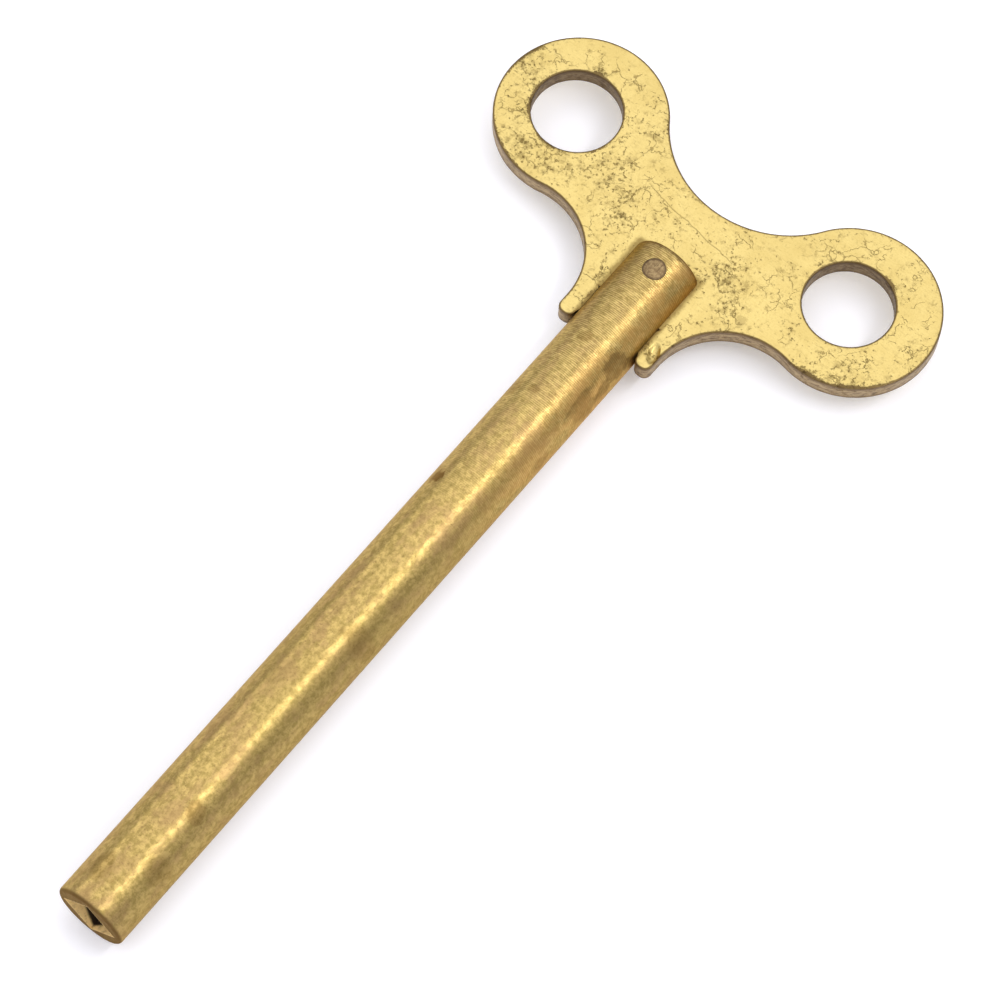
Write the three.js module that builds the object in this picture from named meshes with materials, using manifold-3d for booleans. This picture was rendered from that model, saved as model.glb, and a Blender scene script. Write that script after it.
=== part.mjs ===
// A long-shaft winding key in brass. A turned barrel carries a square socket in one end,
// and a flat two-holed bow is slotted over the other end and riveted there.
// Millimetres. +Y runs from the socket mouth to the bow, +X across the bow and +Z up out of
// the bow's flat face. The origin is under the middle of the key, on the surface it lies on.

import * as THREE from "three";
import { mergeVertices } from "three/addons/utils/BufferGeometryUtils.js";
import Module from "manifold-3d";

// The barrel. All lengths along the key are measured from the socket mouth.
const barrelRadius = 4.0;
const barrelLength = 92.6;
const mouthChamfer = 0.3;
const bowEndChamfer = 0.6;
const slotBottom = 85.5;

// The square socket in the mouth, with its corners up, down and to the sides.
const socketWidth = 4.5;
const socketDepth = 22.0;
const socketTurn = Math.PI / 4;

// The bow, a flat plate with a round lobe on each side and two legs astride the barrel.
const bowThickness = 2.2;
const lobeRadius = 9.4;
const lobeOffset = 18.0;
const lobeHeight = 100.4;
const fingerHoleRadius = 4.9;
const fingerHoleShift = -0.6;
const saddleRadius = 12.3;
const waistRadius = 8.6;
const waistOffset = 14.6;
const legTip = 80.8;
const legCornerRadius = 0.9;

// The rivet through the barrel's two cheeks and the web of the bow.
const rivetRadius = 1.25;
const rivetHeight = 89.5;

// The room left between pieces that are slotted or riveted together.
const fitGap = 0.1;

// The number of flats that a full circle is made of, and how far a cutter overshoots.
const barrelFlats = 48;
const rivetFlats = 24;
const arcDivisions = 12;
const cutMargin = 2.0;

const keyLength = lobeHeight + lobeRadius;
const quarterTurn = Math.PI / 2;

const wasm = await Module();
wasm.setup();

// A closed geometry as a solid that can be cut.
function toSolid(geometry) {
  geometry.deleteAttribute("normal");
  geometry.deleteAttribute("uv");
  const merged = mergeVertices(geometry);
  const vertProperties = merged.attributes.position.array;
  const triVerts = new Uint32Array(merged.index.array);
  return new wasm.Manifold(new wasm.Mesh({ numProp: 3, vertProperties, triVerts }));
}

// A cut solid as a geometry again.
function toGeometry(solid) {
  const { vertProperties, triVerts } = solid.getMesh();
  const geometry = new THREE.BufferGeometry();
  geometry.setAttribute("position", new THREE.BufferAttribute(vertProperties, 3));
  geometry.setIndex(new THREE.BufferAttribute(triVerts, 1));
  geometry.computeVertexNormals();
  return geometry;
}

// A round rod across the barrel, on the rivet's axis.
function crossRod(radius) {
  const length = 2 * (barrelRadius + cutMargin);
  const rod = new THREE.CylinderGeometry(radius, radius, length, rivetFlats);
  return rod.rotateX(quarterTurn).translate(0, rivetHeight, 0);
}

// The barrel is turned from rod, broached square at the mouth, sawn across at the bow end and
// drilled through for the rivet.
function makeBarrel() {
  const profile = [
    new THREE.Vector2(0, 0),
    new THREE.Vector2(barrelRadius - mouthChamfer, 0),
    new THREE.Vector2(barrelRadius, mouthChamfer),
    new THREE.Vector2(barrelRadius, barrelLength - bowEndChamfer),
    new THREE.Vector2(barrelRadius - bowEndChamfer, barrelLength),
    new THREE.Vector2(0, barrelLength),
  ];
  const turned = toSolid(new THREE.LatheGeometry(profile, barrelFlats));
  const socketLength = socketDepth + cutMargin;
  const socket = new THREE.BoxGeometry(socketWidth, socketLength, socketWidth);
  socket.rotateY(socketTurn).translate(0, socketDepth - socketLength / 2, 0);
  const slotWidth = 2 * (barrelRadius + cutMargin);
  const slotLength = barrelLength + cutMargin - slotBottom;
  const slot = new THREE.BoxGeometry(slotWidth, slotLength, bowThickness + 2 * fitGap);
  slot.translate(0, slotBottom + slotLength / 2, 0);
  const cutters = [socket, slot, crossRod(rivetRadius + fitGap)].map(toSolid);
  return toGeometry(cutters.reduce((solid, cutter) => solid.subtract(cutter), turned));
}

// The outline of the bow runs across the top of its notch, down round the right leg, over the
// right waist and lobe, the saddle and the left lobe and waist, and round the left leg.
function bowOutline() {
  const legInside = barrelRadius + fitGap;
  const legOutside = waistOffset - waistRadius;
  const cornerInside = legInside + legCornerRadius;
  const cornerOutside = legOutside - legCornerRadius;
  const cornerHeight = legTip + legCornerRadius;
  const waistReach = lobeOffset - waistOffset;
  const waistHeight = lobeHeight - Math.sqrt((lobeRadius + waistRadius) ** 2 - waistReach ** 2);
  const saddleHeight = lobeHeight + Math.sqrt((lobeRadius + saddleRadius) ** 2 - lobeOffset ** 2);
  const waistEnd = Math.atan2(lobeHeight - waistHeight, waistReach);
  const saddleEnd = Math.atan2(lobeHeight - saddleHeight, lobeOffset);
  const half = Math.PI;
  const outline = new THREE.Shape();
  outline.moveTo(-legInside, slotBottom + fitGap);
  outline.lineTo(legInside, slotBottom + fitGap);
  outline.absarc(cornerInside, cornerHeight, legCornerRadius, half, 3 * quarterTurn, false);
  outline.absarc(cornerOutside, cornerHeight, legCornerRadius, -quarterTurn, 0, false);
  outline.absarc(waistOffset, waistHeight, waistRadius, half, waistEnd, true);
  outline.absarc(lobeOffset, lobeHeight, lobeRadius, waistEnd - half, saddleEnd + half, false);
  outline.absarc(0, saddleHeight, saddleRadius, saddleEnd, -half - saddleEnd, true);
  outline.absarc(-lobeOffset, lobeHeight, lobeRadius, -saddleEnd, 2 * half - waistEnd, false);
  outline.absarc(-waistOffset, waistHeight, waistRadius, half - waistEnd, 0, true);
  outline.absarc(-cornerOutside, cornerHeight, legCornerRadius, half, 3 * quarterTurn, false);
  outline.absarc(-cornerInside, cornerHeight, legCornerRadius, -quarterTurn, 0, false);
  outline.closePath();
  return outline;
}

// The bow is stamped from plate. The finger holes sit a little to the left of their lobes.
function makeBow() {
  const outline = bowOutline();
  for (const side of [-1, 1]) {
    const fingerHole = new THREE.Path();
    const middle = side * lobeOffset + fingerHoleShift;
    fingerHole.absarc(middle, lobeHeight, fingerHoleRadius, 0, 2 * Math.PI, true);
    outline.holes.push(fingerHole);
  }
  const rivetHole = new THREE.Path();
  rivetHole.absarc(0, rivetHeight, rivetRadius + fitGap, 0, 2 * Math.PI, true);
  outline.holes.push(rivetHole);
  const settings = { depth: bowThickness, bevelEnabled: false, curveSegments: arcDivisions };
  return new THREE.ExtrudeGeometry(outline, settings).translate(0, 0, -bowThickness / 2);
}

// The rivet's two heads are filed flush, so its ends follow the barrel's round.
function makeRivet() {
  const envelope = new THREE.CylinderGeometry(barrelRadius, barrelRadius, barrelLength, barrelFlats);
  envelope.translate(0, barrelLength / 2, 0);
  return toGeometry(toSolid(crossRod(rivetRadius)).intersect(toSolid(envelope)));
}

function brass(color, roughness) {
  return new THREE.MeshStandardMaterial({ color, roughness, metalness: 1.0 });
}

const pieces = [
  ["barrel", makeBarrel(), brass(0xa88b4a, 0.42)],
  ["bow", makeBow(), brass(0xe6c96f, 0.35)],
  ["rivet", makeRivet(), brass(0x8f7055, 0.45)],
];

// Every piece is made about the barrel's axis, and the key is then laid on its barrel.
const key = new THREE.Group();
for (const [name, geometry, material] of pieces) {
  const piece = new THREE.Mesh(geometry, material);
  piece.name = name;
  key.add(piece);
}
key.position.set(0, -keyLength / 2, barrelRadius);

export default key;
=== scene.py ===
"""A long-shaft winding key in brass, lying on a pale floor: a turned barrel with a square
socket in its mouth, and a flat two-holed bow slotted over the other end and riveted."""

import math

import bmesh
import bpy
import numpy as np
from mathutils import Matrix, Vector, geometry, kdtree, noise


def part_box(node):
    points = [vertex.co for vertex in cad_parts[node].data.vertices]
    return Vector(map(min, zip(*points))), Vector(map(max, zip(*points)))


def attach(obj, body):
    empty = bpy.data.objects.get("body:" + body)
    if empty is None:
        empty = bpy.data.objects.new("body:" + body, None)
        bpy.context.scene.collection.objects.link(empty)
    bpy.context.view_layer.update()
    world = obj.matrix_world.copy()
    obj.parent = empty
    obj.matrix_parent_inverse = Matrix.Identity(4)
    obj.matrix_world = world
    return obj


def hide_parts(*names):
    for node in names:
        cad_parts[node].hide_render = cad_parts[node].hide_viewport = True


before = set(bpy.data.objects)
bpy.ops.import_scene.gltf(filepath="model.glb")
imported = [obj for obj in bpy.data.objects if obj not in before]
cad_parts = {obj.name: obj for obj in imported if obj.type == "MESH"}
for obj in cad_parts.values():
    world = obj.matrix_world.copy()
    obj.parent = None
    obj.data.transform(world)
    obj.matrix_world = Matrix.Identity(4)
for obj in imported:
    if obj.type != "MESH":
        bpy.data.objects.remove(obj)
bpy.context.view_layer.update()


# ---------------------------------------------------------------------------------------
# The barrel: 8 mm brass rod, turned in the lathe and faced off at both ends. A square socket
# is broached into its mouth, corners up and down. At the bow end it is sawn across to take
# the bow, and drilled through both cheeks for the rivet.

MM = 0.001

barrel_low, barrel_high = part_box("barrel")
barrel_radius = (barrel_high.x - barrel_low.x) / 2
barrel_mouth = barrel_low.y
barrel_end = barrel_high.y
axis_height = (barrel_low.z + barrel_high.z) / 2
bow_low, bow_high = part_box("bow")
plate_thickness = bow_high.z - bow_low.z
rivet_low, rivet_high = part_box("rivet")
rivet_radius = (rivet_high.x - rivet_low.x) / 2
rivet_place = (rivet_low.y + rivet_high.y) / 2

joint_gap = 0.03 * MM
barrel_sizes = {
    "Radius": barrel_radius,
    "Mouth": barrel_mouth,
    "Bow end": barrel_end,
    "Mouth rounding": 0.4 * MM,
    "Bow end rounding": 0.7 * MM,
    "Socket width": 4.5 * MM,
    "Socket turn": math.radians(45),
    "Socket depth": 22.0 * MM,
    "Slot depth": 7.1 * MM,
    "Slot width": plate_thickness + 2 * joint_gap,
    "Rivet hole radius": rivet_radius + joint_gap,
    "Rivet place": rivet_place,
    "Axis height": axis_height,
    "Flats": 160,
    "Rings": 150,
    "Rounding steps": 5,
}


class Signal:
    """One output in a node tree. Sums written on it become Math nodes."""

    def __init__(self, tree, socket):
        self.tree = tree
        self.socket = socket

    def math(self, operation, *values):
        return self.tree.add("ShaderNodeMath", {"operation": operation}, dict(enumerate((self, *values))))

    def __add__(self, other):
        return self.math("ADD", other)

    def __radd__(self, other):
        return self.math("ADD", other)

    def __sub__(self, other):
        return self.math("SUBTRACT", other)

    def __rsub__(self, other):
        return self.math("MULTIPLY", -1.0).math("ADD", other)

    def __mul__(self, other):
        return self.math("MULTIPLY", other)

    def __rmul__(self, other):
        return self.math("MULTIPLY", other)

    def __truediv__(self, other):
        return self.math("DIVIDE", other)

    def __pow__(self, other):
        return self.math("POWER", other)

    def __abs__(self):
        return self.math("ABSOLUTE")

    def least(self, other):
        return self.math("MINIMUM", other)

    def most(self, other):
        return self.math("MAXIMUM", other)

    def rise(self, start, end):
        """0 up to start and 1 from end on, and smooth between. It falls where end is the lower."""
        ends = {"From Min": min(start, end), "From Max": max(start, end)}
        if end < start:
            ends.update({"To Min": 1.0, "To Max": 0.0})
        settings = {"interpolation_type": "SMOOTHSTEP"}
        return self.tree.add("ShaderNodeMapRange", settings, {"Value": self, **ends})


class Tree:
    """A node tree, filled by one method."""

    def __init__(self, owner):
        self.nodes = owner.nodes
        self.links = owner.links

    def add(self, kind, settings, inputs, output=0):
        node = self.nodes.new(kind)
        for name, value in settings.items():
            setattr(node, name, value)
        for name, value in inputs.items():
            if isinstance(value, Signal):
                self.links.new(value.socket, node.inputs[name])
            else:
                node.inputs[name].default_value = value
        return Signal(self, node.outputs[output]) if node.outputs else None


def shape_group(name, sizes):
    """A geometry tree with a named input for each size, and the signals of those inputs."""
    group = bpy.data.node_groups.new(name, "GeometryNodeTree")
    group.interface.new_socket("Shape", in_out="INPUT", socket_type="NodeSocketGeometry")
    for size, value in sizes.items():
        kind = "NodeSocketInt" if isinstance(value, int) else "NodeSocketFloat"
        group.interface.new_socket(size, in_out="INPUT", socket_type=kind)
    group.interface.new_socket("Shape", in_out="OUTPUT", socket_type="NodeSocketGeometry")
    tree = Tree(group)
    entry = group.nodes.new("NodeGroupInput")
    given = {socket.name: Signal(tree, socket) for socket in entry.outputs if socket.name}
    return group, tree, given


def grown(name, mesh, group, sizes):
    """The plain mesh that a geometry tree makes, at these sizes, out of a starting mesh."""
    piece = bpy.data.objects.new(name, mesh)
    bpy.context.scene.collection.objects.link(piece)
    modifier = piece.modifiers.new(name, "NODES")
    modifier.node_group = group
    for socket in group.interface.items_tree:
        if socket.in_out == "INPUT" and socket.name in sizes:
            modifier[socket.identifier] = sizes[socket.name]
    finished = piece.evaluated_get(bpy.context.evaluated_depsgraph_get())
    plain = bpy.data.meshes.new_from_object(finished)
    piece.modifiers.clear()
    piece.data = plain
    return piece


def turned_rod(material):
    """A round rod along Y with rounded ends, broached, sawn across and drilled."""
    group, tree, given = shape_group("turned_rod", barrel_sizes)
    steps = given["Rounding steps"]
    last = given["Rings"] - 1
    ring = tree.add("GeometryNodeInputIndex", {}, {})
    quarter = math.pi / 2
    mouth_turn = (ring.least(steps) / steps) * quarter
    end_turn = ((last - ring).least(steps) / steps) * quarter
    along = ((ring - steps) / (last - 2 * steps)).most(0.0).least(1.0)
    mouth_rounding = given["Mouth rounding"]
    end_rounding = given["Bow end rounding"]
    straight = given["Bow end"] - given["Mouth"] - mouth_rounding - end_rounding
    mouth_climb = mouth_rounding * (1 - mouth_turn.math("COSINE"))
    end_climb = end_rounding * end_turn.math("COSINE")
    mouth_narrowing = mouth_rounding * (1 - mouth_turn.math("SINE"))
    end_narrowing = end_rounding * (1 - end_turn.math("SINE"))
    place = given["Mouth"] + mouth_climb + straight * along + end_climb
    girth = given["Radius"] - mouth_narrowing - end_narrowing
    point = tree.add("ShaderNodeCombineXYZ", {}, {"Y": place, "Z": given["Axis height"]})
    line = tree.add("GeometryNodeMeshLine", {}, {"Count": given["Rings"]})
    stretched = tree.add("GeometryNodeSetPosition", {}, {"Geometry": line, "Position": point})
    spine = tree.add("GeometryNodeMeshToCurve", {}, {"Mesh": stretched})
    section = tree.add("GeometryNodeCurvePrimitiveCircle", {}, {"Resolution": given["Flats"], "Radius": 1.0})
    sweep = {"Curve": spine, "Profile Curve": section, "Scale": girth, "Fill Caps": True}
    rod = tree.add("GeometryNodeCurveToMesh", {}, sweep)

    def moved(cutter, along_barrel, turn=(0.0, 0.0, 0.0)):
        where = tree.add("ShaderNodeCombineXYZ", {}, {"Y": along_barrel, "Z": given["Axis height"]})
        move = {"Geometry": cutter, "Translation": where, "Rotation": turn}
        return tree.add("GeometryNodeTransform", {}, move)

    def block(across, along, high):
        size = tree.add("ShaderNodeCombineXYZ", {}, {"X": across, "Y": along, "Z": high})
        return tree.add("GeometryNodeMeshCube", {}, {"Size": size})

    width = given["Socket width"]
    socket_turn = tree.add("ShaderNodeCombineXYZ", {}, {"Y": given["Socket turn"]})
    socket = moved(block(width, given["Socket depth"] * 2, width), given["Mouth"], socket_turn)
    saw = block(given["Radius"] * 3, given["Slot depth"] * 2, given["Slot width"])
    drill_size = {"Vertices": 96, "Radius": given["Rivet hole radius"], "Depth": given["Radius"] * 3}
    drill = tree.add("GeometryNodeMeshCylinder", {}, drill_size)
    cut = rod
    for cutter in (socket, moved(saw, given["Bow end"]), moved(drill, given["Rivet place"])):
        settings = {"operation": "DIFFERENCE", "solver": "EXACT"}
        cut = tree.add("GeometryNodeMeshBoolean", settings, {0: cut, 1: cutter})
    plain = tree.add("GeometryNodeRealizeInstances", {}, {"Geometry": cut})
    coated = tree.add("GeometryNodeSetMaterial", {}, {"Geometry": plain, "Material": material})
    tree.add("NodeGroupOutput", {}, {0: coated})
    return group


weld_distance = 0.0005 * MM


def broken_edges(piece, width, sharp_angle):
    """The small radius that filing leaves along a piece's sharp edges."""
    work = bmesh.new()
    work.from_mesh(piece.data)
    bmesh.ops.remove_doubles(work, verts=work.verts, dist=weld_distance)
    for face in work.faces:
        face.smooth = True
    work.to_mesh(piece.data)
    work.free()
    bevel = piece.modifiers.new("broken_edges", "BEVEL")
    bevel.width = width
    bevel.segments = 2
    bevel.limit_method = "ANGLE"
    bevel.angle_limit = sharp_angle
    bevel.use_clamp_overlap = True
    bevel.harden_normals = True


class Finish(Tree):
    """A surface finish. Its patterns are laid out in millimetres along the piece's own axes."""

    def __init__(self, name):
        self.material = bpy.data.materials.new(name)
        self.material.use_nodes = True
        super().__init__(self.material.node_tree)
        self.nodes.clear()
        raw = self.add("ShaderNodeTexCoord", {}, {}, "Object")
        per_mm = 1 / MM
        centred = {"Vector": raw, "Location": (0, 0, -axis_height * per_mm), "Scale": (per_mm,) * 3}
        self.point = self.add("ShaderNodeMapping", {}, centred)
        self.across = self.add("ShaderNodeSeparateXYZ", {}, {0: self.point}, "X")
        self.along = self.add("ShaderNodeSeparateXYZ", {}, {0: self.point}, "Y")
        self.height = self.add("ShaderNodeSeparateXYZ", {}, {0: self.point}, "Z")

    def grain(self, size, detail=4.0, roughness=0.55, stretch=(1, 1, 1), shift=0.0):
        """Soft noise whose lumps are about this size, drawn out along each axis by stretch."""
        scale = tuple(1 / (size * pull) for pull in stretch)
        where = {"Vector": self.point, "Location": (shift,) * 3, "Scale": scale}
        spread = self.add("ShaderNodeMapping", {}, where)
        look = {"Vector": spread, "Scale": 1.0, "Detail": detail, "Roughness": roughness}
        return self.add("ShaderNodeTexNoise", {}, look)

    def spot(self, place, size, edge):
        """1 at a place in millimetres and 0 beyond the size, its edge broken up by a noise."""
        gap = self.add("ShaderNodeVectorMath", {"operation": "DISTANCE"}, {0: self.point, 1: place}, "Value")
        return (gap / size + (edge - 0.5) * 3.0).rise(1.0, 0.6)

    def mix(self, amount, under, over):
        inputs = {"Factor": amount, 6: under, 7: over}
        return self.add("ShaderNodeMix", {"data_type": "RGBA"}, inputs, 2)

    def relief(self, height, depth, under=None):
        inputs = {"Height": height, "Distance": depth, "Strength": 1.0}
        if under is not None:
            inputs["Normal"] = under
        return self.add("ShaderNodeBump", {}, inputs)

    def done(self, **inputs):
        named = {name.replace("_", " "): value for name, value in inputs.items()}
        shader = self.add("ShaderNodeBsdfPrincipled", {}, named)
        self.add("ShaderNodeOutputMaterial", {}, {"Surface": shader})
        return self.material


# Stains on the barrel: (place in millimetres, size, how dark).
barrel_stains = [
    ((-2.9, 2.5, 2.75), 1.1, 0.95), ((3.4, 23.9, 2.1), 1.5, 0.65), ((3.8, 21.2, 1.2), 1.2, 0.6),
    ((3.6, 18.4, 1.7), 2.3, 0.5), ((3.9, 10.9, 0.8), 1.3, 0.4), ((1.9, -41.0, 3.5), 1.2, 0.5),
    ((2.9, -47.5, 2.7), 1.6, 0.35), ((-0.6, 24.0, 3.9), 0.9, 0.4), ((-0.9, 16.0, 3.8), 0.8, 0.4),
    ((2.9, -17.0, 2.7), 2.0, 0.35), ((-3.3, 15.5, 2.3), 1.0, 0.4), ((-1.5, -51.0, 3.7), 1.8, 0.4),
]


def turned_brass():
    """Dull brass with turning lines, mottled by handling, its flanks partly tarnished and partly
    darkened as painted shade, with painted shade in its turning grooves, painted glints, and
    painted light near the mouth and painted shade (dark brown) down inside its socket.
    """
    finish = Finish("turned_brass")
    gold = (0.505, 0.362, 0.128, 1)
    olive = (0.285, 0.205, 0.062, 1)
    copper = (0.35, 0.215, 0.10, 1)
    orange = (0.58, 0.31, 0.085, 1)
    glint = (0.74, 0.56, 0.22, 1)
    edge_tint = (0.90, 0.77, 0.58, 1)
    brown = (0.13, 0.075, 0.032, 1)
    stain_brown = (0.17, 0.092, 0.026, 1)
    end_brown = (0.13, 0.070, 0.024, 1)
    socket_painted_light = (0.95, 0.68, 0.30, 1)
    socket_painted_shade = (0.022, 0.012, 0.007, 1)

    mottle = finish.grain(0.50, detail=6, roughness=0.70, stretch=(1, 1.3, 1))
    blotch = finish.grain(2.2, detail=6, roughness=0.66, stretch=(1, 2.0, 1), shift=7.0)
    cloud = finish.grain(9.0, detail=3, roughness=0.5, stretch=(1, 1.6, 1), shift=17.0)
    speckle = finish.grain(0.24, detail=4, roughness=0.7, shift=3.0)
    wander = finish.grain(2.5, detail=4, roughness=0.6, shift=21.0)
    feed = 2 * math.pi / 0.22
    feed_lines = (finish.along * feed + wander * 9.0).math("SINE") * 0.5 + 0.5
    broken = finish.grain(0.15, detail=3, roughness=0.6, stretch=(6, 1, 6))
    lines = feed_lines * 0.2 + broken * 0.8
    turned_end = finish.along.rise(-8.0, 20.0) * (0.35 + cloud.rise(0.35, 0.6) * 0.65)
    shaded_flank = abs(finish.across).rise(2.4, 4.0)
    mouth = barrel_mouth / MM
    end = barrel_end / MM

    tone = finish.mix(mottle.rise(0.39, 0.62) * 0.85, gold, olive)
    tone = finish.mix(blotch.rise(0.44, 0.64) * 0.55, tone, copper)
    tone = finish.mix(cloud.rise(0.50, 0.66) * 0.25, tone, olive)
    tone = finish.mix(speckle.rise(0.53, 0.70) * 0.50, tone, brown)
    # The flanks go towards olive: partly tarnish, partly painted shade where the barrel's round turns away
    # from the light.
    tone = finish.mix(shaded_flank * 0.25, tone, olive)
    # The dark turning lines are painted shade in the grooves, and the glint colour is a painted highlight on
    # the ridges between them, both strongest towards the bow end.
    tone = finish.mix(lines.rise(0.62, 0.34) * (0.05 + turned_end * 0.22), tone, brown)
    tone = finish.mix(lines.rise(0.50, 0.62) * turned_end * 0.45, tone, glint)
    ragged = blotch * 1.2 + mottle * 0.3 - 0.25
    warm_side = finish.across.rise(0.4, 3.0) * turned_end * blotch.rise(0.30, 0.55)
    tone = finish.mix(warm_side * 0.5, tone, orange)
    for place, size, dark in barrel_stains:
        tone = finish.mix(finish.spot(place, size, ragged) * dark, tone, stain_brown)
    # A brown band darkens the last 0.9 mm of the bow end, over its rounding and its face.
    dark_end_band = (finish.along + (mottle - 0.5) * 1.6).rise(end - 0.9, end - 0.1)
    tone = finish.mix(dark_end_band * 0.6, tone, brown)
    mouth_end = (finish.along + (mottle - 0.5) * 0.4).rise(mouth + 0.4, mouth + 0.1)
    tone = finish.mix(mouth_end * 0.8, tone, end_brown)

    # Inside the square socket the brass is made mostly matt: the bright gold on the flats near the mouth is
    # painted light, and the dark brown that grows with depth, less towards the corners, is painted shade.
    corner_reach = barrel_sizes["Socket width"] / MM / math.sqrt(2)
    socket_floor = mouth + barrel_sizes["Socket depth"] / MM
    in_square = (abs(finish.across) + abs(finish.height)).rise(corner_reach + 0.10, corner_reach + 0.04)
    in_socket = in_square * finish.along.rise(socket_floor + 0.5, socket_floor + 0.2)
    socket_tone_lit_and_shaded = finish.mix(mottle.rise(0.45, 0.65) * 0.5, socket_painted_light, copper)
    toward_corner = abs(finish.across) * 0.42
    socket_shade_depth = (finish.along - toward_corner + (blotch - 0.5) * 0.5).rise(mouth + 0.2, mouth + 0.6)
    socket_tone_lit_and_shaded = finish.mix(socket_shade_depth, socket_tone_lit_and_shaded, socket_painted_shade)
    tone = finish.mix(in_socket, tone, socket_tone_lit_and_shaded)

    dulled = in_socket.most(mouth_end)
    rough = 0.27 + mottle.rise(0.35, 0.7) * 0.10 + blotch * 0.06 + shaded_flank * 0.08 + dulled * 0.25
    worn = finish.relief(mottle, 0.024 * MM)
    ridged = finish.relief(lines * (0.12 + turned_end * 0.50), 0.06 * MM, worn)
    metal = 1 - in_socket * 0.85
    look = {"Base_Color": tone, "Metallic": metal, "Roughness": rough, "Specular_Tint": edge_tint}
    return finish.done(**look, Normal=ridged)


barrel_edge = 0.07 * MM
sharp_angle = math.radians(35)

barrel_sheet = turned_brass()
barrel = grown("turned_barrel", bpy.data.meshes.new("rod"), turned_rod(barrel_sheet), barrel_sizes)
broken_edges(barrel, barrel_edge, sharp_angle)
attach(barrel, "root")
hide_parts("barrel")


# ---------------------------------------------------------------------------------------
# The bow: one stamping in 2.2 mm brass plate, lacquered. The press rolls its upper edge over
# and leaves the walls sheared above and torn below. Its two legs stand astride the barrel,
# and are swaged in against it at their tips, where the punch has left a dent.

lobe_radius = 9.4 * MM
lobe_offset = bow_high.x - lobe_radius
lobe_height = 19.6 * MM
lobe_place = bow_low.y + lobe_height
finger_hole_radius = 4.9 * MM
finger_hole_shift = -0.6 * MM
saddle_radius = 12.3 * MM
waist_radius = 8.6 * MM
waist_offset = 14.6 * MM
leg_corner = 0.85 * MM
leg_tip = bow_low.y
leg_inside = barrel_radius + joint_gap
notch_top = barrel_end - barrel_sizes["Slot depth"] + joint_gap
outline_step = 0.25 * MM
rivet_hole_radius = rivet_radius + joint_gap


def arc(centre, radius, start, end):
    """Points round an arc, spaced by the outline's step at the radius it is drawn with."""
    count = max(2, round(abs(end - start) * radius / outline_step))
    return [(centre, radius, start + (end - start) * k / count) for k in range(count + 1)]


def bow_outline():
    """The bow's edge as points (centre, radius, turn, side). The side is 1 where the metal is
    inside the arc, and -1 where it is outside, so that the edge can be moved in or out."""
    leg_outside = waist_offset - waist_radius
    waist_reach = lobe_offset - waist_offset
    waist_place = lobe_place - math.sqrt((lobe_radius + waist_radius) ** 2 - waist_reach ** 2)
    saddle_place = lobe_place + math.sqrt((lobe_radius + saddle_radius) ** 2 - lobe_offset ** 2)
    waist_end = math.atan2(lobe_place - waist_place, waist_reach)
    saddle_end = math.atan2(saddle_place - lobe_place, -lobe_offset)
    half = math.pi
    quarter = half / 2
    corner_place = leg_tip + leg_corner
    right = []
    right += [(*p, 1) for p in arc((leg_inside + leg_corner, corner_place), leg_corner, -half, -quarter)]
    right += [(*p, 1) for p in arc((leg_outside - leg_corner, corner_place), leg_corner, -quarter, 0)]
    right += [(*p, -1) for p in arc((waist_offset, waist_place), waist_radius, half, waist_end)]
    lobe = arc((lobe_offset, lobe_place), lobe_radius, waist_end - half, saddle_end)
    saddle = arc((0, saddle_place), saddle_radius, saddle_end - half, -quarter)
    right += [(*p, 1) for p in lobe[1:]]
    right += [(*p, -1) for p in saddle[1:]]
    left = [((-c[0], c[1]), r, half - turn, side) for c, r, turn, side in reversed(right)]
    corners = ((-leg_inside, quarter * 1.5), (leg_inside, quarter * 0.5))
    notch = [((x, notch_top), 0.0, turn, -1) for x, turn in corners]
    return right + left[1:] + notch


roll_width = 0.13 * MM
roll_drop = 0.12 * MM
burr_round = 0.10 * MM
top_spacing = 0.21 * MM
under_spacing = 0.45 * MM
tear_depth = 0.03 * MM
tear_width = 0.5 * MM
tear_height = 0.9 * MM
sheared_share = 0.4
top_level = axis_height + plate_thickness / 2
under_level = axis_height - plate_thickness / 2


def finger_hole(side):
    """A finger hole's edge, in the same terms as the outline. Its metal is outside it."""
    centre = (side * lobe_offset + finger_hole_shift, lobe_place)
    return [(*p, -1) for p in arc(centre, finger_hole_radius, 2 * math.pi, 0)[:-1]]


def rivet_eye():
    """The hole for the rivet, hidden in the barrel's slot."""
    return [(*p, -1) for p in arc((0, rivet_place), rivet_hole_radius, 2 * math.pi, 0)[:-1]]


def edge_loop(edge, inset):
    """The edge's points, moved into the metal by the inset, with long straights divided up."""
    placed = [
        (c[0] + (r - side * inset) * math.cos(turn), c[1] + (r - side * inset) * math.sin(turn))
        for c, r, turn, side in edge
    ]
    drawn = [(c[0] + r * math.cos(turn), c[1] + r * math.sin(turn)) for c, r, turn, side in edge]
    loop = []
    for k, start in enumerate(placed):
        end = placed[(k + 1) % len(placed)]
        span = math.dist(drawn[k], drawn[(k + 1) % len(drawn)])
        parts = max(1, round(span / (2 * outline_step)))
        for part in range(parts):
            share = part / parts
            loop.append((start[0] + (end[0] - start[0]) * share, start[1] + (end[1] - start[1]) * share))
    return loop


def inside(points, loop):
    """Which of the points lie inside the loop."""
    result = np.zeros(len(points), bool)
    ends = np.roll(loop, -1, axis=0)
    for (x0, y0), (x1, y1) in zip(loop, ends):
        if y0 != y1:
            crosses = (points[:, 1] > y0) != (points[:, 1] > y1)
            result ^= crosses & (points[:, 0] < (x1 - x0) * (points[:, 1] - y0) / (y1 - y0) + x0)
    return result


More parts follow.
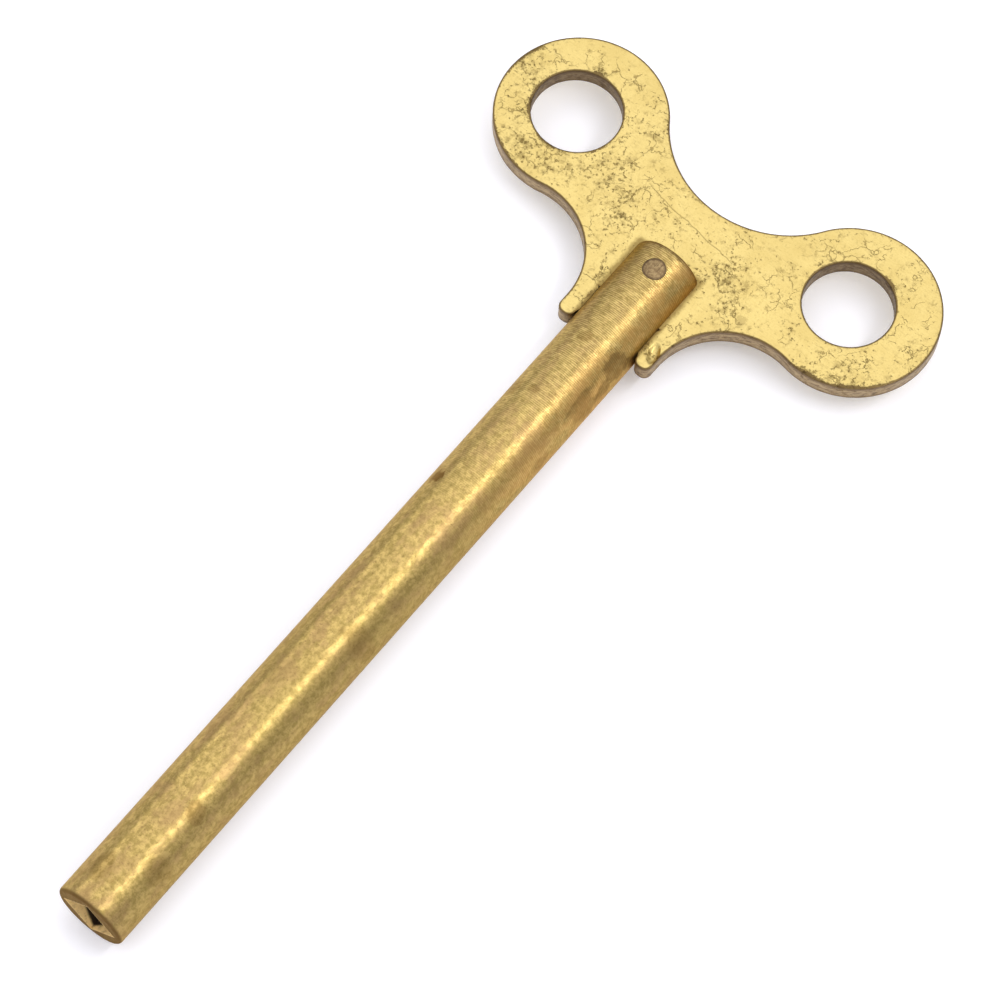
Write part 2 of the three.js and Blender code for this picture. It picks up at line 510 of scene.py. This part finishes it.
def sheet_points(loops, spacing):
    """An even triangular lattice of points inside the first loop and outside the others."""
    low = loops[0].min(axis=0)
    high = loops[0].max(axis=0)
    row_gap = spacing * math.sqrt(3) / 2
    lattice = [
        (x + (row % 2) * spacing / 2, y)
        for row, y in enumerate(np.arange(low[1], high[1], row_gap))
        for x in np.arange(low[0], high[0], spacing)
    ]
    lattice = np.array(lattice)
    kept = inside(lattice, loops[0])
    for hole in loops[1:]:
        kept &= ~inside(lattice, hole)
    lattice = lattice[kept]
    rim = kdtree.KDTree(sum(len(loop) for loop in loops))
    for number, (x, y) in enumerate(np.concatenate(loops)):
        rim.insert((x, y, 0), number)
    rim.balance()
    clear = 0.7 * spacing
    return np.array([p for p in lattice if rim.find((p[0], p[1], 0))[2] > clear])


def face_sheet(work, rows, spacing, level):
    """Fills between the loops of points already made with one sheet of small triangles."""
    loops = [np.array([(v.co.x, v.co.y) for v in row]) for row in rows]
    rim_verts = [v for row in rows for v in row]
    edges = []
    start = 0
    for row in rows:
        count = len(row)
        edges += [(start + k, start + (k + 1) % count) for k in range(count)]
        start += count
    inner = sheet_points(loops, spacing)
    flat = np.concatenate(loops + [inner])
    result = geometry.delaunay_2d_cdt([Vector(p) for p in flat], edges, [], 0, 1e-9)
    places, triangles, sources = result[0], result[2], result[3]
    middles = np.array([sum((places[k] for k in t), Vector((0, 0))) / 3 for t in triangles])
    kept = inside(middles, loops[0])
    for hole in loops[1:]:
        kept &= ~inside(middles, hole)
    verts = rim_verts + [work.verts.new((x, y, level)) for x, y in inner]
    for triangle, keep in zip(triangles, kept):
        if keep:
            work.faces.new([verts[sources[k][0]] for k in triangle])


def profile_rows():
    """The wall's rows from the top face to the under face, as (inset, level, torn)."""
    rows = []
    roll_steps = 4
    for step in range(roll_steps + 1):
        turn = math.pi / 2 * step / roll_steps
        rows.append((roll_width * (1 - math.sin(turn)), top_level - roll_drop * (1 - math.cos(turn)), 0.0))
    wall_steps = 8
    wall_top = top_level - roll_drop
    wall_bottom = under_level + burr_round
    for step in range(1, wall_steps + 1):
        share = step / wall_steps
        level = wall_top + (wall_bottom - wall_top) * share
        rows.append((0.0, level, 1.0 if share > sheared_share else 0.0))
    rows.append((burr_round, under_level, 0.0))
    return rows


dent_place = Vector((5.25 * MM, leg_tip + 2.15 * MM))
dent_lean = math.radians(20)
dent_half_width = 0.62 * MM
dent_half_length = 1.25 * MM
dent_depth = 0.30 * MM
lip_height = 0.05 * MM
lip_reach = 1.15
lip_spread = 0.22


def swage_dent(x, y):
    """How far the top face is pushed down by the punch on the right leg's tip."""
    away = Vector((x, y)) - dent_place
    wide = (away.x * math.cos(dent_lean) + away.y * math.sin(dent_lean)) / dent_half_width
    long = (away.y * math.cos(dent_lean) - away.x * math.sin(dent_lean)) / dent_half_length
    reach = wide * wide + long * long
    bowl = max(0.0, 1 - reach) ** 0.7
    lip = math.exp(-((math.sqrt(reach) - lip_reach) / lip_spread) ** 2)
    return -dent_depth * bowl + lip_height * lip


wave_length = 9 * MM
wave_height = 0.035 * MM
ripple_length = 2.2 * MM
ripple_height = 0.008 * MM


def face_relief(x, y):
    """The unevenness of the rolled plate, and the dent in its right leg."""
    wave = noise.noise(Vector((x / wave_length, y / wave_length, 0.0))) * wave_height
    ripple = noise.noise(Vector((x / ripple_length, y / ripple_length, 4.0))) * ripple_height
    return wave + ripple + swage_dent(x, y)


# Where the lacquer has failed and the brass under it has pitted: (across, along, size, how
# badly), in millimetres from the axis and from the tips of the legs.
failed_lacquer = [
    (-26.2, 22.4, 1.6, 0.9), (-26.0, 20.0, 2.2, 0.7), (-24.4, 18.8, 2.2, 0.6), (-23.2, 16.4, 1.8, 0.8),
    (-22.0, 12.8, 2.4, 0.7), (-20.0, 12.6, 2.0, 0.9), (-18.4, 13.6, 1.6, 0.8), (-16.4, 12.4, 1.0, 0.8),
    (-14.8, 13.6, 1.4, 0.8), (-12.4, 17.6, 1.8, 1.0), (-13.4, 15.6, 1.6, 0.9), (-10.4, 16.0, 2.4, 0.9),
    (-13.2, 22.0, 1.0, 0.7), (-10.4, 23.6, 1.4, 0.6), (-14.0, 25.2, 1.2, 0.6), (-19.5, 24.9, 1.0, 1.0),
    (-7.6, 13.6, 2.2, 1.0), (-8.4, 12.0, 1.8, 0.9), (-4.5, 5.6, 0.8, 0.8), (-4.4, 3.4, 0.7, 0.7),
    (6.0, 14.0, 2.4, 1.0), (7.6, 11.1, 1.8, 0.8), (8.0, 9.1, 1.4, 0.7), (3.0, 20.5, 3.0, 0.4),
    (12.0, 21.6, 1.2, 0.6), (10.8, 19.2, 1.0, 0.8), (19.6, 24.8, 1.6, 1.0), (22.8, 15.6, 1.2, 0.8),
    (26.0, 19.6, 1.2, 0.8), (25.0, 14.4, 1.4, 0.8), (23.2, 12.0, 1.8, 1.0), (18.8, 10.6, 1.6, 1.0),
    (20.8, 13.2, 2.0, 0.5), (5.0, 1.9, 0.9, 0.9),
]


def lacquer_failure(x, y):
    """How far the lacquer has gone at a point, from 0 to 1."""
    sound = 1.0
    for across, along, size, badly in failed_lacquer:
        apart = math.dist((x / MM, (y - leg_tip) / MM), (across, along)) / size
        sound *= 1 - badly * math.exp(-apart * apart)
    return 1 - sound


def stamped_bow(material):
    """The bow's mesh, with its walls, its uneven faces and the state of its lacquer."""
    work = bmesh.new()
    wall_layer = work.verts.layers.float.new("wall")
    edges = [bow_outline(), finger_hole(-1), finger_hole(1), rivet_eye()]
    tops = []
    unders = []
    rows = profile_rows()
    for edge in edges:
        made = []
        for inset, level, torn in rows:
            near = edge_loop(edge, inset)
            far = edge_loop(edge, inset + tear_depth)
            row = []
            for (x0, y0), (x1, y1) in zip(near, far):
                spot = Vector((x0 / tear_width, y0 / tear_width, level / tear_height))
                give = torn * (0.5 + 0.5 * noise.noise(spot))
                vert = work.verts.new((x0 + (x1 - x0) * give, y0 + (y1 - y0) * give, level))
                vert[wall_layer] = min(1.0, max(0.0, (top_level - level) / roll_drop))
                row.append(vert)
            made.append(row)
        for high, low in zip(made, made[1:]):
            for k in range(len(high)):
                after = (k + 1) % len(high)
                work.faces.new((high[k], low[k], low[after], high[after]))
        tops.append(made[0])
        unders.append(made[-1])
    for vert in (v for row in unders for v in row):
        vert[wall_layer] = 0.0
    face_sheet(work, tops, top_spacing, top_level)
    face_sheet(work, unders, under_spacing, under_level)
    bmesh.ops.recalc_face_normals(work, faces=work.faces)

    rim = kdtree.KDTree(sum(len(edge_loop(edge, 0.0)) for edge in edges[:3]))
    for number, (x, y) in enumerate(p for edge in edges[:3] for p in edge_loop(edge, 0.0)):
        rim.insert((x, y, 0), number)
    rim.balance()
    rim_layer = work.verts.layers.float.new("rim")
    failure_layer = work.verts.layers.float.new("failure")
    for vert in work.verts:
        x, y, z = vert.co
        vert[rim_layer] = rim.find((x, y, 0))[2] / MM
        vert[failure_layer] = lacquer_failure(x, y)
        share = min(1.0, max(0.0, (z - (top_level - roll_drop)) / roll_drop))
        vert.co.z += face_relief(x, y) * share
        if leg_tip + leg_corner <= y < notch_top and abs(x) < leg_inside + 1.5 * roll_width:
            round_reach = math.sqrt(barrel_radius ** 2 - (z - axis_height) ** 2)
            vert.co.x = math.copysign(round_reach + joint_gap, x)
    mesh = bpy.data.meshes.new("bow")
    work.to_mesh(mesh)
    work.free()
    mesh.materials.append(material)
    return mesh


pit_sizes = {"Pits per area": 1.1 / MM ** 2, "Pit width": 0.22 * MM, "Pit depth": 0.05 * MM, "Seed": 5}


def pitted(material):
    """Sinks small pits in a shape, thickest where its lacquer has failed."""
    group, tree, given = shape_group("pitted", pit_sizes)
    failure = tree.add("GeometryNodeInputNamedAttribute", {"data_type": "FLOAT"}, {"Name": "failure"})
    wall = tree.add("GeometryNodeInputNamedAttribute", {"data_type": "FLOAT"}, {"Name": "wall"})
    density = given["Pits per area"] * (failure + 0.06)
    scatter = {"Mesh": given["Shape"], "Density": density, "Seed": given["Seed"]}
    pits = tree.add("GeometryNodeDistributePointsOnFaces", {}, scatter)
    nearest = tree.add("GeometryNodeProximity", {"target_element": "POINTS"}, {"Geometry": pits}, "Distance")
    bowl = (1 - (nearest / given["Pit width"]).least(1.0)) ** 0.8
    depth = bowl * given["Pit depth"] * (1 - wall) * -1.0
    up = tree.add("GeometryNodeInputNormal", {}, {})
    push = tree.add("ShaderNodeVectorMath", {"operation": "SCALE"}, {0: up, "Scale": depth})
    sunk = tree.add("GeometryNodeSetPosition", {}, {"Geometry": given["Shape"], "Offset": push})
    mark = {"Geometry": sunk, "Name": "pit", "Value": bowl}
    marked = tree.add("GeometryNodeStoreNamedAttribute", {"data_type": "FLOAT", "domain": "POINT"}, mark)
    plain = tree.add("GeometryNodeRealizeInstances", {}, {"Geometry": marked})
    coated = tree.add("GeometryNodeSetMaterial", {}, {"Geometry": plain, "Material": material})
    tree.add("NodeGroupOutput", {}, {0: coated})
    return group


def lacquered_brass():
    """Yellow lacquered plate: crazed, flecked brown, dark at its edges and brown on its walls."""
    finish = Finish("lacquered_brass")
    yellow = (0.585, 0.455, 0.175, 1)
    amber = (0.49, 0.365, 0.125, 1)
    olive = (0.30, 0.22, 0.08, 1)
    brown = (0.17, 0.11, 0.032, 1)
    dark = (0.075, 0.042, 0.018, 1)
    wall_brown = (0.17, 0.11, 0.055, 1)
    wall_pale = (0.42, 0.31, 0.17, 1)

    def marked(name):
        return finish.add("ShaderNodeAttribute", {"attribute_name": name}, {}, "Fac")

    failure = marked("failure")
    rim = marked("rim")
    wall = marked("wall")
    pit = marked("pit")

    cloud = finish.grain(4.0, detail=5, roughness=0.6, shift=1.0)
    stain = finish.grain(0.9, detail=7, roughness=0.72, shift=4.0)
    fleck = finish.grain(0.40, detail=6, roughness=0.72, shift=9.0)
    patch = finish.grain(1.9, detail=4, roughness=0.6, shift=31.0)
    dust = finish.grain(0.20, detail=4, roughness=0.7, shift=15.0)
    scuff = finish.grain(0.30, detail=4, roughness=0.65, stretch=(4, 0.6, 1), shift=6.0)

    tone = finish.mix(cloud.rise(0.38, 0.66) * 0.5, yellow, amber)
    tone = finish.mix(dust.rise(0.40, 0.70) * 0.45, tone, amber)
    tone = finish.mix(dust.rise(0.56, 0.74) * 0.25, tone, olive)
    gathered = failure * 0.075 + patch.rise(0.44, 0.64) * 0.06
    stained = (stain + gathered).rise(0.56, 0.74)
    tone = finish.mix(stained * 0.5, tone, olive)
    tone = finish.mix(scuff.rise(0.58, 0.72) * 0.30, tone, olive)
    flecked = (fleck + gathered).rise(0.635, 0.70)
    tone = finish.mix(flecked * 0.58, tone, brown)
    tone = finish.mix(pit.rise(0.3, 0.9) * 0.45, tone, brown)

    wandering = {"Vector": finish.point, "Scale": 0.9, "Detail": 4.0}
    warp = finish.add("ShaderNodeTexNoise", {}, wandering, "Color")
    swirl = {0: warp, 1: (2.2, 2.2, 2.2), 2: finish.point}
    pushed = finish.add("ShaderNodeVectorMath", {"operation": "MULTIPLY_ADD"}, swirl)
    cells = {"Vector": pushed, "Scale": 0.45, "Randomness": 1.0}
    cell_edge = finish.add("ShaderNodeTexVoronoi", {"feature": "DISTANCE_TO_EDGE"}, cells)
    crazed_here = finish.grain(2.4, detail=4, roughness=0.6, shift=12.0).rise(0.48, 0.60)
    craze = cell_edge.rise(0.028, 0.006) * crazed_here
    tone = finish.mix(craze * 0.6, tone, brown)

    edge_line = (rim + (stain - 0.5) * 0.2).rise(0.27, 0.13)
    nibbled = (rim + (fleck - 0.5) * 1.4 - failure * 0.45).rise(0.10, -0.05)
    tone = finish.mix(edge_line.most(nibbled) * 0.85, tone, dark)
    past_leg = finish.along.rise(barrel_end / MM + 0.6, barrel_end / MM)
    crevice = (abs(finish.across) + (stain - 0.5) * 1.2).rise(4.6, 4.0) * past_leg
    tone = finish.mix(crevice * 0.8, tone, brown)

    blot = finish.spot((9.9, 36.8, 1.1), 0.75, fleck)
    tone = finish.mix(blot * 0.5, tone, olive)
    scratch_run = (finish.along - 42.2 + finish.across * 0.16 + (cloud - 0.5) * 1.5)
    scratch = abs(scratch_run).rise(0.07, 0.02) * abs(finish.across + 1.0).rise(6.4, 5.6)
    tone = finish.mix(scratch * 0.35, tone, brown)

    torn = finish.grain(0.3, detail=5, roughness=0.7, stretch=(2.5, 2.5, 1), shift=2.0)
    banded = finish.height.rise(-0.95, -0.4) * finish.height.rise(0.85, 0.45)
    wall_tone = finish.mix(torn.rise(0.34, 0.60) * (0.2 + banded * 0.8), wall_brown, wall_pale)
    in_hole = abs(finish.across).rise(12.0, 12.6) * abs(finish.across).rise(23.9, 23.3)
    hole_wall = in_hole * abs(finish.along - lobe_place / MM).rise(5.3, 5.1)
    wall_tone = finish.mix(hole_wall * 0.5, wall_tone, dark)
    tone = finish.mix(wall, tone, wall_tone)

    rough = 0.34 + stained * 0.2 + flecked * 0.2 + wall * 0.14
    bumps = stain * 0.5 - flecked * 0.7 - craze * 0.8 + scuff * 0.3 - scratch * 0.6
    relief = finish.relief(bumps, 0.03 * MM)
    return finish.done(Base_Color=tone, Metallic=1.0, Roughness=rough, Normal=relief)


def smoothed(piece, angle):
    """Smooth shading, except across edges that turn by more than the angle."""
    piece.data.shade_smooth()
    piece.data.set_sharp_from_angle(angle=angle)


plate_finish = lacquered_brass()
bow = grown("lobed_bow", stamped_bow(plate_finish), pitted(plate_finish), pit_sizes)
smoothed(bow, sharp_angle)
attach(bow, "root")
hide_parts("bow")


# ---------------------------------------------------------------------------------------
# The rivet: a brass pin driven through both cheeks of the barrel and the bow, headed over
# and then filed down until both ends follow the barrel's round.

rivet_points = 64
rivet_head_rings = 8
rivet_proud = 0.015 * MM


def rivet_end(side):
    """The rings of one filed end, from its rim to its middle."""
    rings = []
    for ring in range(rivet_head_rings):
        radius = rivet_radius * (1 - ring / rivet_head_rings)
        crown = rivet_proud * math.cos(math.pi / 2 * radius / rivet_radius)
        points = []
        for k in range(rivet_points):
            turn = 2 * math.pi * k / rivet_points
            x = radius * math.cos(turn)
            rise = math.sqrt(barrel_radius ** 2 - x * x) + crown
            points.append(Vector((x, rivet_place + radius * math.sin(turn), axis_height + side * rise)))
        rings.append(points)
    return rings


def browned_brass():
    """Filed brass gone pinkish brown, with file marks and dark grime round its rim."""
    finish = Finish("browned_brass")
    pink = (0.21, 0.14, 0.072, 1)
    tan = (0.34, 0.245, 0.125, 1)
    brown = (0.06, 0.035, 0.022, 1)
    mottle = finish.grain(0.35, detail=5, roughness=0.7, shift=3.0)
    scores = finish.grain(0.12, detail=3, roughness=0.6, stretch=(1, 8, 1))
    tone = finish.mix(mottle.rise(0.40, 0.62), pink, tan)
    tone = finish.mix(scores.rise(0.52, 0.68) * 0.5, tone, brown)
    from_middle = (finish.across ** 2 + (finish.along - rivet_place / MM) ** 2) ** 0.5
    rim = from_middle.rise(0.95, 1.15)
    tone = finish.mix(rim * 0.6, tone, brown)
    normal = finish.relief(scores + mottle * 0.5, 0.03 * MM)
    return finish.done(Base_Color=tone, Metallic=1.0, Roughness=0.45 + mottle * 0.15, Normal=normal)


def skinned(name, loops, material):
    """A mesh over a row of loops with equal numbers of points, with a face across each end."""
    work = bmesh.new()
    rows = [[work.verts.new(point) for point in loop] for loop in loops]
    for low, high in zip(rows, rows[1:]):
        for k in range(len(low)):
            after = (k + 1) % len(low)
            work.faces.new((low[k], low[after], high[after], high[k]))
    work.faces.new(rows[0])
    work.faces.new(rows[-1])
    bmesh.ops.recalc_face_normals(work, faces=work.faces)
    mesh = bpy.data.meshes.new(name)
    work.to_mesh(mesh)
    work.free()
    mesh.materials.append(material)
    piece = bpy.data.objects.new(name, mesh)
    bpy.context.scene.collection.objects.link(piece)
    return piece


rivet_rings = list(reversed(rivet_end(-1))) + rivet_end(1)
rivet = skinned("rivet_pin", rivet_rings, browned_brass())
smoothed(rivet, sharp_angle)
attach(rivet, "root")
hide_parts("rivet")


# ---------------------------------------------------------------------------------------
# The floor that the key lies on: plain white card, far wider than the key.

floor_half = 3.0


def white_card():
    """Matt white card with the faintest tooth."""
    finish = Finish("white_card")
    tooth = finish.grain(0.6, detail=3)
    tone = finish.mix(tooth * 0.3, (0.90, 0.90, 0.96, 1), (0.88, 0.88, 0.94, 1))
    return finish.done(Base_Color=tone, Roughness=0.9, Emission_Color=tone, Emission_Strength=0.17)


floor_mesh = bpy.data.meshes.new("floor")
corner_signs = ((-1, -1), (1, -1), (1, 1), (-1, 1))
floor_mesh.from_pydata([(a * floor_half, b * floor_half, 0.0) for a, b in corner_signs], [], [(0, 1, 2, 3)])
floor_mesh.materials.append(white_card())
floor = bpy.data.objects.new("floor", floor_mesh)
bpy.context.scene.collection.objects.link(floor)


# ---------------------------------------------------------------------------------------
# The light: a white tent all round, brighter overhead, with a soft panel on each side of the
# key. The right-hand panel is the stronger and draws the streak along the barrel.

tent_strength = 1.32
panels = {
    "right_panel": {"place": (0.156, 0.118, 0.313), "long": 0.25, "wide": 0.026, "power": 0.31},
    "left_panel": {"place": (-0.34, 0.06, 0.22), "long": 0.20, "wide": 0.06, "power": 0.12},
    "top_panel": {"place": (-0.17, 0.26, 0.64), "long": 0.45, "wide": 0.45, "power": 0.55},
}

tent = bpy.data.worlds.new("tent")
tent.use_nodes = True
tent_tree = Tree(tent.node_tree)
tent_tree.nodes.clear()
looking = tent_tree.add("ShaderNodeTexCoord", {}, {}, "Generated")
climb = tent_tree.add("ShaderNodeSeparateXYZ", {}, {0: looking}, "Z")
glow = {"Color": (1.0, 1.0, 1.0, 1), "Strength": tent_strength * (0.42 + climb.rise(0.0, 0.9) * 0.48)}
tent_glow = tent_tree.add("ShaderNodeBackground", {}, glow)
tent_tree.add("ShaderNodeOutputWorld", {}, {"Surface": tent_glow})
bpy.context.scene.world = tent

for name, panel in panels.items():
    lamp = bpy.data.lights.new(name, "AREA")
    lamp.shape = "RECTANGLE"
    lamp.size = panel["long"]
    lamp.size_y = panel["wide"]
    lamp.energy = panel["power"]
    light = bpy.data.objects.new(name, lamp)
    place = Vector(panel["place"])
    beside = Vector((0.0, place.y, axis_height))
    facing = (place - beside).to_track_quat("Z", "Y").to_matrix().to_4x4()
    light.matrix_world = Matrix.Translation(place) @ facing
    bpy.context.scene.collection.objects.link(light)


# ---------------------------------------------------------------------------------------
# The camera: above the socket end and to its right, looking down on the key, with a long
# lens and the frame leant over a little.

camera_turn = math.radians(34.878)
camera_climb = math.radians(65.548)
camera_lean = math.radians(4.151)
camera_away = 459.278 * MM
camera_aim = Vector((2.816 * MM, 5.488 * MM, axis_height))
camera_lens = 162.835

level = math.cos(camera_climb)
backward = Vector((math.sin(camera_turn) * level, -math.cos(camera_turn) * level, math.sin(camera_climb)))
upright = (Vector((0, 0, 1)) - backward * backward.z).normalized()
rightward = upright.cross(backward)
lens = bpy.data.cameras.new("camera")
lens.lens = camera_lens
lens.clip_start = 0.01
camera = bpy.data.objects.new("camera", lens)
right_leant = rightward * math.cos(camera_lean) + upright * math.sin(camera_lean)
up_leant = upright * math.cos(camera_lean) - rightward * math.sin(camera_lean)
turned = Matrix((right_leant, up_leant, backward)).transposed().to_4x4()
camera.matrix_world = Matrix.Translation(camera_aim + backward * camera_away) @ turned
bpy.context.scene.collection.objects.link(camera)
bpy.context.scene.camera = camera
bpy.context.scene.view_settings.view_transform = "Standard"
